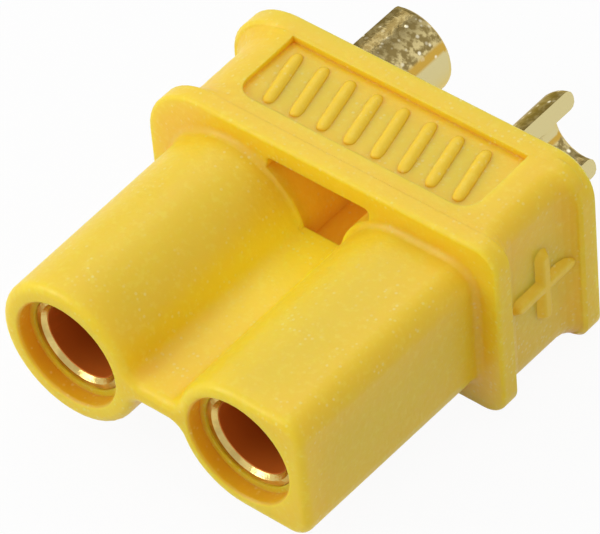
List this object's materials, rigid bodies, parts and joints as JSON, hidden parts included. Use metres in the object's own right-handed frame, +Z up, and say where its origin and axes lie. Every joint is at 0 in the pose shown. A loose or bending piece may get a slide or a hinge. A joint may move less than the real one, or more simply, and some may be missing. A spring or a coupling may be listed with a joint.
{
  "type": "battery connector",
  "caption": "Keyed battery connector socket: a round and a squared tube joined by a web, a rimmed grip block behind them and open solder cups at the rear.",
  "frame": {"origin": "centre of the mating face, on the web midway between the two sockets", "axes": "+X towards the squared pole, +Y back along the sockets to the solder cups, +Z up through the thickness"},
  "size_m": [0.0102, 0.0125, 0.0052],
  "materials": {
    "housing_plastic": "satin yellow nylon, slightly translucent",
    "contact_gold": "gold-plated turned brass"
  },
  "bodies": {
    "root": {"housing": "housing_plastic", "contact_negative": "contact_gold", "contact_positive": "contact_gold"}
  },
  "joints": []
}
